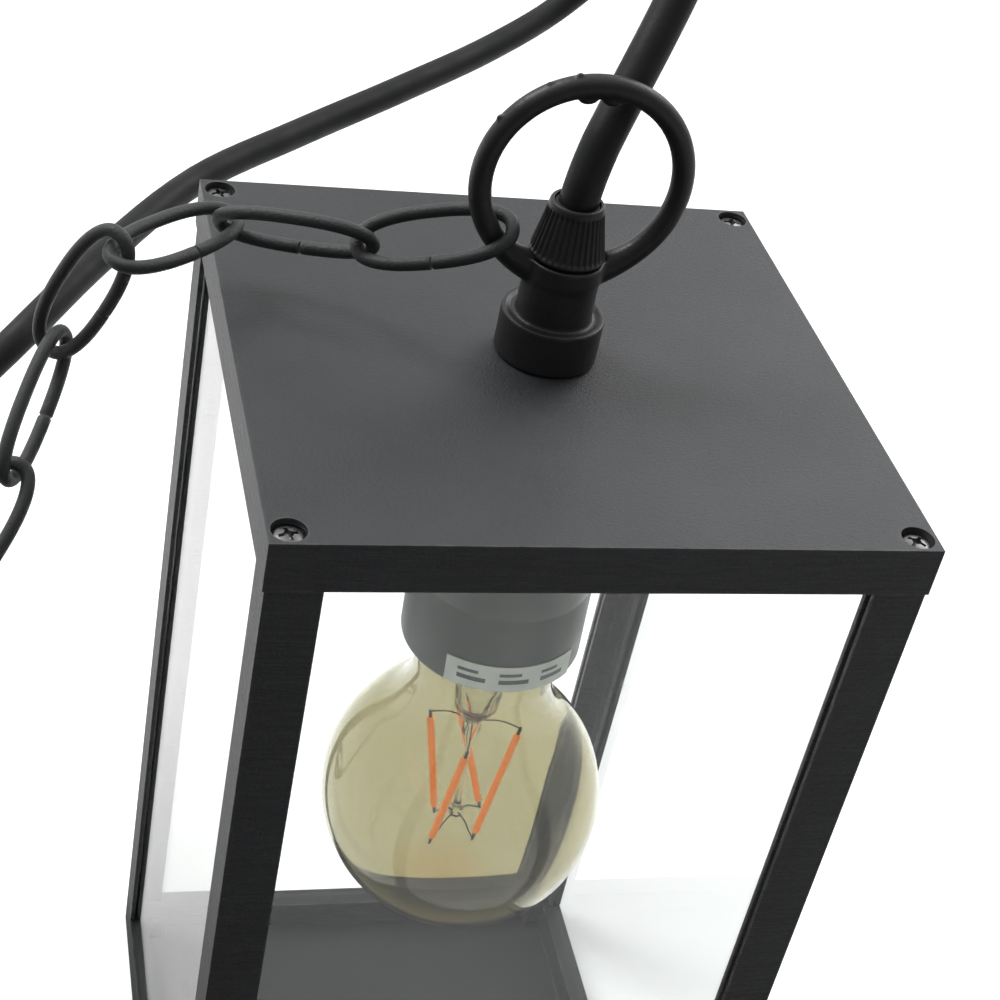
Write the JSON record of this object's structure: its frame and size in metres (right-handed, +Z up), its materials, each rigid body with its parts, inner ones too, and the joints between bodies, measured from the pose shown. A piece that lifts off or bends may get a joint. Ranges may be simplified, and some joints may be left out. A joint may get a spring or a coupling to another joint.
{
  "type": "hanging lantern",
  "caption": "Square glazed metal lantern with a flat roof, a filament bulb, a cable gland with a hanging ring, a chain and a supply cable.",
  "frame": {"origin": "centre of the underside of the base, which is the face it stands on", "axes": "+Z up through the roof's centre, +X to the right along the hanging ring's plane, +Y to the back"},
  "size_m": [0.3759, 0.3052, 0.341],
  "materials": {
    "powder_coat": "dark graphite powder coat, fine grain, satin",
    "clear_glass": "clear float glass",
    "amber_glass": "thin amber-tinted blown glass",
    "black_plastic": "black moulded nylon, satin, with a fine mould line",
    "phenolic": "black phenolic moulding, satin",
    "rubber": "matt rubber",
    "cable_sheath": "matt black rubber sheath",
    "zinc_steel": "zinc-plated steel",
    "nickel_brass": "nickel-plated brass",
    "filament_phosphor": "orange-yellow phosphor coat",
    "label_paper": null,
    "core_brown": "brown core insulation",
    "core_blue": "blue core insulation",
    "core_green": "green-yellow core insulation"
  },
  "bodies": {
    "lantern": {"roof_cap": "powder_coat", "base_tray": "powder_coat", "corner_post_front_left": "powder_coat", "corner_post_front_right": "powder_coat", "corner_post_back_right": "powder_coat", "corner_post_back_left": "powder_coat", "glass_front": "clear_glass", "glass_right": "clear_glass", "glass_back": "clear_glass", "glass_left": "clear_glass", "roof_screw_front_left": "zinc_steel", "roof_screw_front_right": "zinc_steel", "roof_screw_back_right": "zinc_steel", "roof_screw_back_left": "zinc_steel", "base_screw_front_left": "zinc_steel", "base_screw_front_right": "zinc_steel", "base_screw_back_right": "zinc_steel", "base_screw_back_left": "zinc_steel", "gland_body_with_ring": "black_plastic", "gland_seal": "rubber", "gland_washer": "zinc_steel", "gland_lock_nut": "zinc_steel", "lampholder_shell": "phenolic", "lampholder_cap": "phenolic", "lampholder_insert": "phenolic", "thread_sleeve": "nickel_brass", "centre_contact": "nickel_brass", "rating_label": "label_paper", "core_live": "core_brown", "core_neutral": "core_blue", "core_earth": "core_green", "cable": "cable_sheath", "cable_coil": "cable_sheath", "cable_cores_end": "core_brown"},
    "gland_nut": {"gland_nut": "black_plastic"},
    "bulb": {"bulb_glass": "amber_glass", "bulb_screw_cap": "nickel_brass", "bulb_insulator": "phenolic", "bulb_tip": "nickel_brass", "bulb_stem": "clear_glass", "filament_1": "filament_phosphor", "filament_2": "filament_phosphor", "filament_3": "filament_phosphor", "filament_4": "filament_phosphor"},
    "link_01": {"chain_link_01": "powder_coat"},
    "link_02": {"chain_link_02": "powder_coat"},
    "link_03": {"chain_link_03": "powder_coat"},
    "link_04": {"chain_link_04": "powder_coat"},
    "link_05": {"chain_link_05": "powder_coat"},
    "link_06": {"chain_link_06": "powder_coat"},
    "link_07": {"chain_link_07": "powder_coat"},
    "link_08": {"chain_link_08": "powder_coat"},
    "link_09": {"chain_link_09": "powder_coat"},
    "link_10": {"chain_link_10": "powder_coat"},
    "link_11": {"chain_link_11": "powder_coat"},
    "link_12": {"chain_link_12": "powder_coat"}
  },
  "joints": [
    {"name": "gland_nut_turn", "type": "hinge", "parent": "lantern", "child": "gland_nut", "pos_m": [0, 0, 0.251], "axis": [0, 0, 1], "continuous": true},
    {"name": "bulb_turn", "type": "hinge", "parent": "lantern", "child": "bulb", "pos_m": [0, 0, 0.213], "axis": [-0.0305, 0, 0.9995], "continuous": true},
    {"name": "link_01_swing", "type": "hinge", "parent": "lantern", "child": "link_01", "pos_m": [-0.01521, 0, 0.24928], "axis": [-0.5935, 0, 0.8048], "range_deg": [-33, 15]},
    {"name": "link_02_swing", "type": "hinge", "parent": "link_01", "child": "link_02", "pos_m": [-0.03712, 0.00972, 0.23967], "axis": [0.1281, 0.826, 0.5489], "range_deg": [-24, 60]},
    {"name": "link_03_swing", "type": "hinge", "parent": "link_02", "child": "link_03", "pos_m": [-0.06111, 0.02175, 0.236], "axis": [-0.344, -0.4307, 0.8343], "range_deg": [-33, 30]},
    {"name": "link_04_swing", "type": "hinge", "parent": "link_03", "child": "link_04", "pos_m": [-0.08137, 0.00387, 0.23693], "axis": [0.6411, -0.7563, -0.1305], "range_deg": [-6, 24]},
    {"name": "link_05_swing", "type": "hinge", "parent": "link_04", "child": "link_05", "pos_m": [-0.0918, 0.01221, 0.21279], "axis": [0.688, -0.6098, -0.3933], "range_deg": [-60, 27]},
    {"name": "link_06_swing", "type": "hinge", "parent": "link_05", "child": "link_06", "pos_m": [-0.09904, -0.00896, 0.1978], "axis": [0.3851, 0.4582, -0.8011], "range_deg": [-48, 60]},
    {"name": "link_07_swing", "type": "hinge", "parent": "link_06", "child": "link_07", "pos_m": [-0.11163, -0.02314, 0.17916], "axis": [0.7528, -0.6573, -0.0371], "range_deg": [-60, 39]},
    {"name": "link_08_swing", "type": "hinge", "parent": "link_07", "child": "link_08", "pos_m": [-0.1222, -0.03086, 0.15558], "axis": [-0.5766, -0.652, 0.4924], "range_deg": [-60, 60]},
    {"name": "link_09_swing", "type": "hinge", "parent": "link_08", "child": "link_09", "pos_m": [-0.12597, -0.03435, 0.1291], "axis": [0.7414, -0.6707, -0.0217], "range_deg": [-60, 60]},
    {"name": "link_10_swing", "type": "hinge", "parent": "link_09", "child": "link_10", "pos_m": [-0.1261, -0.03445, 0.10215], "axis": [0.7659, 0.6427, -0.0174], "range_deg": [-60, 60]},
    {"name": "link_11_swing", "type": "hinge", "parent": "link_10", "child": "link_11", "pos_m": [-0.12649, -0.03472, 0.07523], "axis": [-0.5736, 0.8192, 0], "range_deg": [-60, 60]},
    {"name": "link_12_swing", "type": "hinge", "parent": "link_11", "child": "link_12", "pos_m": [-0.13142, -0.03949, 0.04916], "axis": [0.6733, 0.6987, -0.2418], "range_deg": [-60, 60]}
  ]
}
